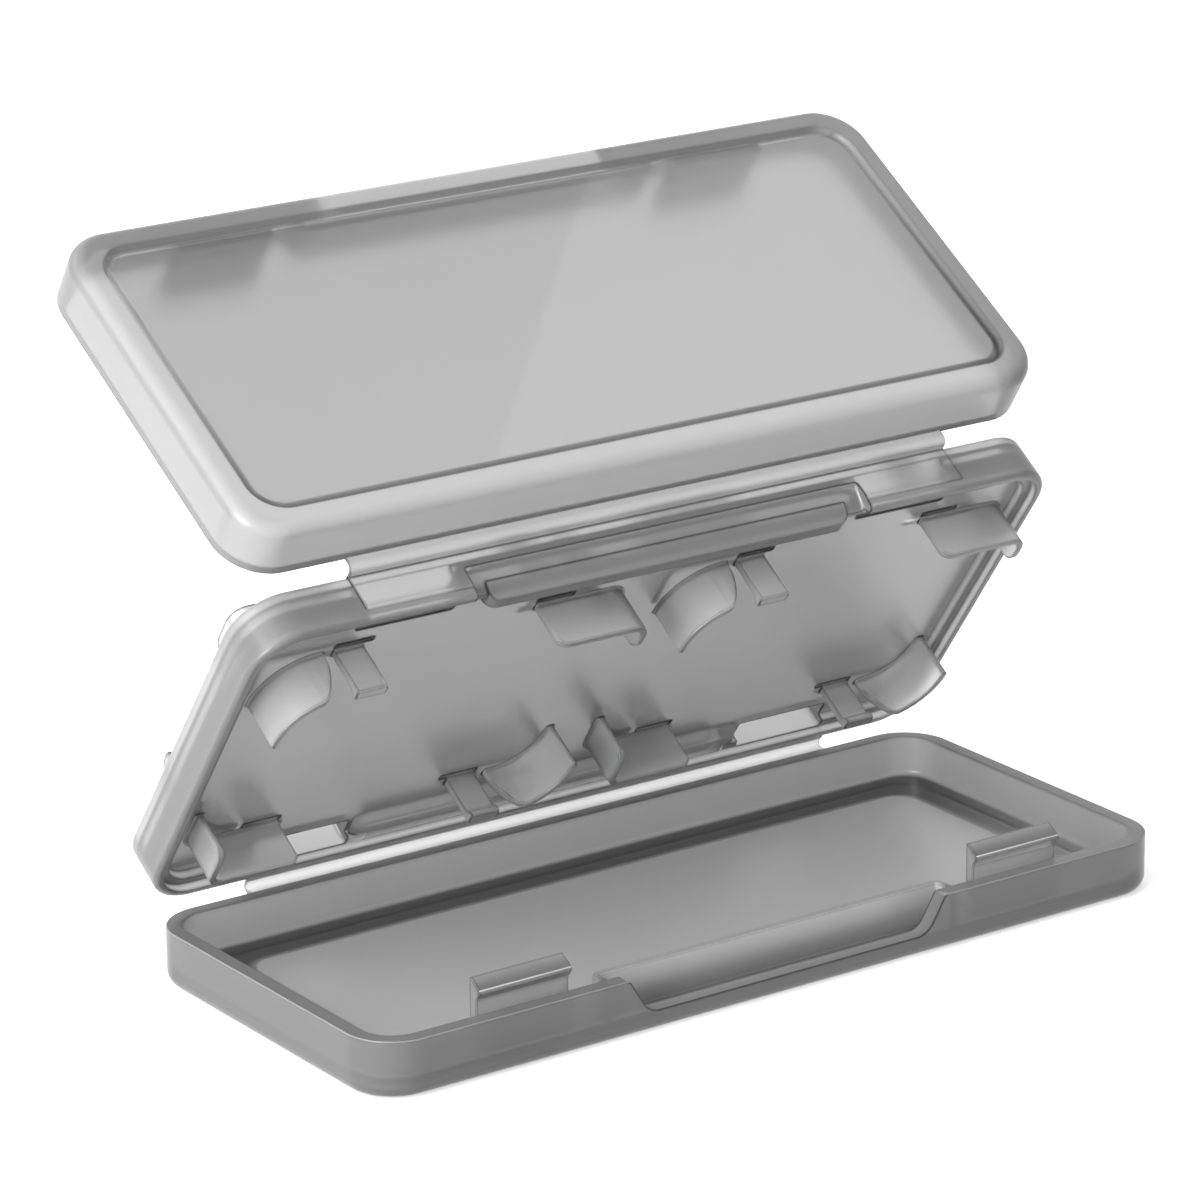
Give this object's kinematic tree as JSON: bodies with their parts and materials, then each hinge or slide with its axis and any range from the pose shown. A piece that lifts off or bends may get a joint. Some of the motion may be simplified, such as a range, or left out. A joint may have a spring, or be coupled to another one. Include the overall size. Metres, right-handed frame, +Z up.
{
  "type": "game card case",
  "caption": "Folding pocket case in smoke translucent plastic: a tray, a middle leaf with clips for small game cards on both faces, and a cover, in a Z fold.",
  "frame": {"origin": "middle of the ground under the bounding box of the case, standing open on its tray", "axes": "+X along the width to the right, +Y to the rear where the tray's hinge is, +Z up"},
  "size_m": [0.077, 0.0462, 0.0573],
  "materials": {
    "smoke_polypropylene": "translucent smoke grey, satin moulded",
    "thin_polypropylene": "translucent, paler where the plastic is thin"
  },
  "bodies": {
    "base_tray": {"tray_shell": "smoke_polypropylene", "tray_guard_wall": "smoke_polypropylene", "tray_catch_left": "smoke_polypropylene", "tray_catch_right": "smoke_polypropylene", "tray_hinge_web": "thin_polypropylene"},
    "middle_leaf": {"middle_plate": "smoke_polypropylene", "front_thumb_tongue": "smoke_polypropylene", "back_thumb_tongue": "smoke_polypropylene", "cover_hinge_web": "thin_polypropylene", "front_left_lower_corner_clip": "smoke_polypropylene", "front_left_lower_tab": "smoke_polypropylene", "front_left_lower_angle_clip": "smoke_polypropylene", "front_left_upper_corner_clip": "smoke_polypropylene", "front_left_upper_tab": "smoke_polypropylene", "front_left_upper_angle_clip": "smoke_polypropylene", "front_right_lower_corner_clip": "smoke_polypropylene", "front_right_lower_tab": "smoke_polypropylene", "front_right_lower_angle_clip": "smoke_polypropylene", "front_right_upper_corner_clip": "smoke_polypropylene", "front_right_upper_tab": "smoke_polypropylene", "front_right_upper_angle_clip": "smoke_polypropylene", "back_left_lower_corner_clip": "smoke_polypropylene", "back_left_lower_tab": "smoke_polypropylene", "back_left_lower_angle_clip": "smoke_polypropylene", "back_left_upper_corner_clip": "smoke_polypropylene", "back_left_upper_tab": "smoke_polypropylene", "back_left_upper_angle_clip": "smoke_polypropylene", "back_right_lower_corner_clip": "smoke_polypropylene", "back_right_lower_tab": "smoke_polypropylene", "back_right_lower_angle_clip": "smoke_polypropylene", "back_right_upper_corner_clip": "smoke_polypropylene", "back_right_upper_tab": "smoke_polypropylene", "back_right_upper_angle_clip": "smoke_polypropylene"},
    "cover": {"cover_shell": "smoke_polypropylene", "cover_guard_wall": "smoke_polypropylene", "cover_catch_left": "smoke_polypropylene", "cover_catch_right": "smoke_polypropylene"}
  },
  "joints": [
    {"name": "lower_hinge", "type": "hinge", "parent": "base_tray", "child": "middle_leaf", "pos_m": [0, 0.01064, 0.0049], "axis": [-1, 0, 0], "range_deg": [-55, 125], "deforming": ["tray_hinge_web"]},
    {"name": "upper_hinge", "type": "hinge", "parent": "middle_leaf", "child": "cover", "pos_m": [0, -0.00546, 0.03574], "axis": [1, 0, 0], "range_deg": [-87, 93], "deforming": ["cover_hinge_web"]}
  ]
}
